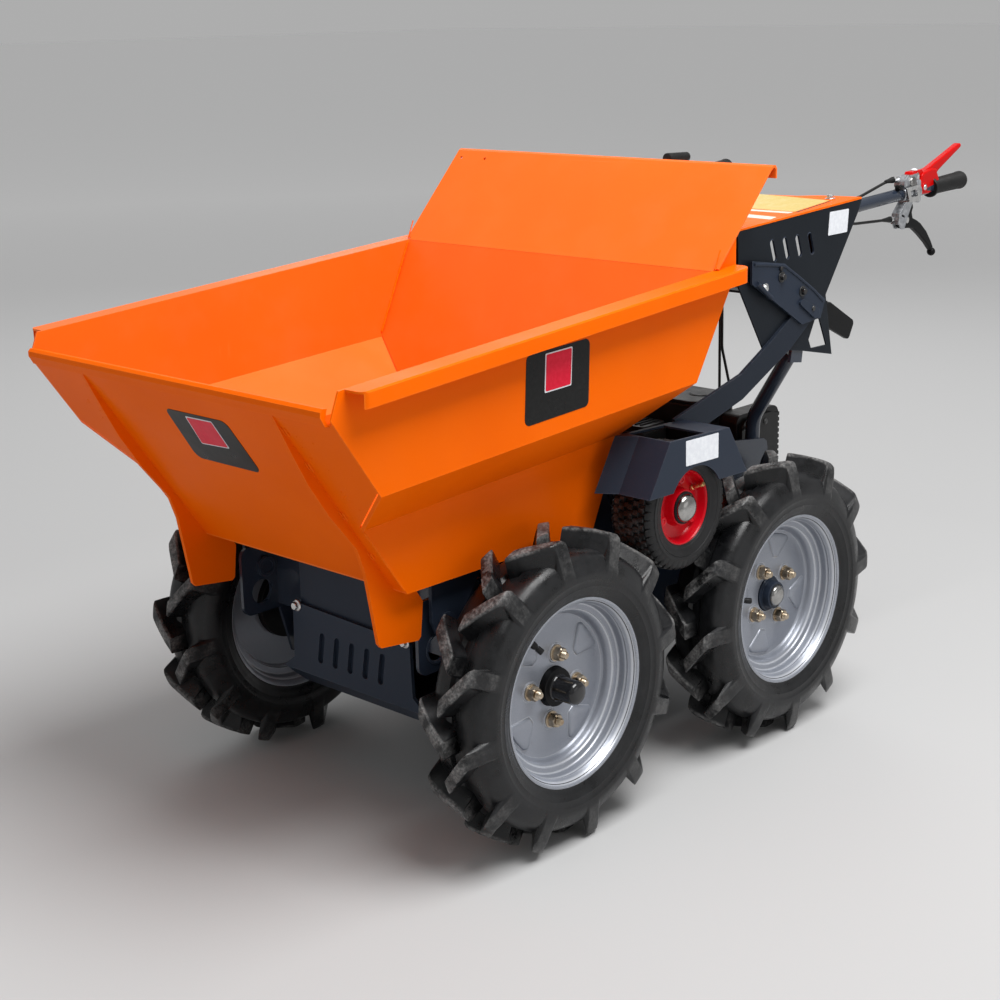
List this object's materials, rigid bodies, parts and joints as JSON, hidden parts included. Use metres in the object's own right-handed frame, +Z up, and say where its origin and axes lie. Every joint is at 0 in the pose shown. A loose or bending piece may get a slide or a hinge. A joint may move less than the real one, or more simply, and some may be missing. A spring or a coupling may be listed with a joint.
{
  "type": "walk-behind site dumper",
  "caption": "Walk-behind site dumper with rubber-tyred driven wheels, a forward-tipping orange skip, a rear engine, and a control console with handlebars.",
  "frame": {"origin": "on the ground under the centre of the machine's bounding box", "axes": "+X forward, over the skip's pouring lip; +Y to the machine's left; +Z up"},
  "size_m": [1.6182, 0.726, 0.9475],
  "materials": {
    "orange_paint": "gloss powder coat",
    "grey_paint": "satin powder coat",
    "wheel_silver": "satin silver-grey enamel",
    "tyre": "moulded rubber",
    "black_rubber": "moulded grip",
    "black_plastic": "moulded",
    "black_metal": "satin black",
    "red_plastic": "gloss moulded",
    "zinc_steel": "zinc plated",
    "alloy": "die cast",
    "cast_case": "painted cast housing",
    "cable_black": "sheathed"
  },
  "bodies": {
    "chassis": {"air_cleaner": "black_plastic", "axle_front": "grey_paint", "axle_rear": "grey_paint", "chassis_side_left": "grey_paint", "chassis_side_right": "grey_paint", "chassis_tray": "grey_paint", "console_lid": "orange_paint", "console_shell": "grey_paint", "engine_block": "black_metal", "engine_cables": "cable_black", "engine_cowl": "black_plastic", "frame_rails": "grey_paint", "friction_wheel_arms": "grey_paint", "fuel_tank": "black_plastic", "gear_lever": "black_plastic", "grip_left": "black_rubber", "grip_right": "black_rubber", "hand_levers": "black_plastic", "handle_cables": "cable_black", "handlebar_left": "grey_paint", "handlebar_right": "grey_paint", "latch_plates": "grey_paint", "lever_perches": "alloy", "locking_lever": "red_plastic", "mudguard_left": "grey_paint", "mudguard_right": "grey_paint", "nose_plate": "grey_paint", "release_flap": "black_plastic", "skip_pivot_pins": "zinc_steel", "stay_tubes": "grey_paint", "transmission": "cast_case"},
    "skip": {"skip_back_board": "orange_paint", "skip_floor": "orange_paint", "skip_front_panel": "orange_paint", "skip_pivot_lugs": "grey_paint", "skip_ribs": "orange_paint", "skip_side_left": "orange_paint", "skip_side_right": "orange_paint"},
    "wheel_front_left": {"tyre_front_left": "tyre", "rim_front_left": "wheel_silver", "hub_front_left": "black_metal"},
    "wheel_front_right": {"tyre_front_right": "tyre", "rim_front_right": "wheel_silver", "hub_front_right": "black_metal"},
    "wheel_rear_left": {"tyre_rear_left": "tyre", "rim_rear_left": "wheel_silver", "hub_rear_left": "black_metal"},
    "wheel_rear_right": {"tyre_rear_right": "tyre", "rim_rear_right": "wheel_silver", "hub_rear_right": "black_metal"},
    "friction_wheel_left": {"friction_tyre_left": "tyre", "friction_rim_left": "red_plastic"},
    "friction_wheel_right": {"friction_tyre_right": "tyre", "friction_rim_right": "red_plastic"}
  },
  "joints": [
    {"name": "skip_tip", "type": "hinge", "parent": "chassis", "child": "skip", "pos_m": [0.5015, 0, 0.348], "axis": [0, 1, 0], "range_deg": [0, 90]},
    {"name": "wheel_front_left_spin", "type": "hinge", "parent": "chassis", "child": "wheel_front_left", "pos_m": [0.3785, 0.306, 0.237], "axis": [0, 1, 0], "continuous": true},
    {"name": "wheel_front_right_spin", "type": "hinge", "parent": "chassis", "child": "wheel_front_right", "pos_m": [0.3785, -0.306, 0.237], "axis": [0, 1, 0], "continuous": true},
    {"name": "wheel_rear_left_spin", "type": "hinge", "parent": "chassis", "child": "wheel_rear_left", "pos_m": [-0.1625, 0.306, 0.237], "axis": [0, 1, 0], "continuous": true},
    {"name": "wheel_rear_right_spin", "type": "hinge", "parent": "chassis", "child": "wheel_rear_right", "pos_m": [-0.1625, -0.306, 0.237], "axis": [0, 1, 0], "continuous": true},
    {"name": "friction_wheel_left_spin", "type": "hinge", "parent": "chassis", "child": "friction_wheel_left", "pos_m": [0.1065, 0.301, 0.451], "axis": [0, 1, 0], "continuous": true},
    {"name": "friction_wheel_right_spin", "type": "hinge", "parent": "chassis", "child": "friction_wheel_right", "pos_m": [0.1065, -0.301, 0.451], "axis": [0, 1, 0], "continuous": true}
  ]
}
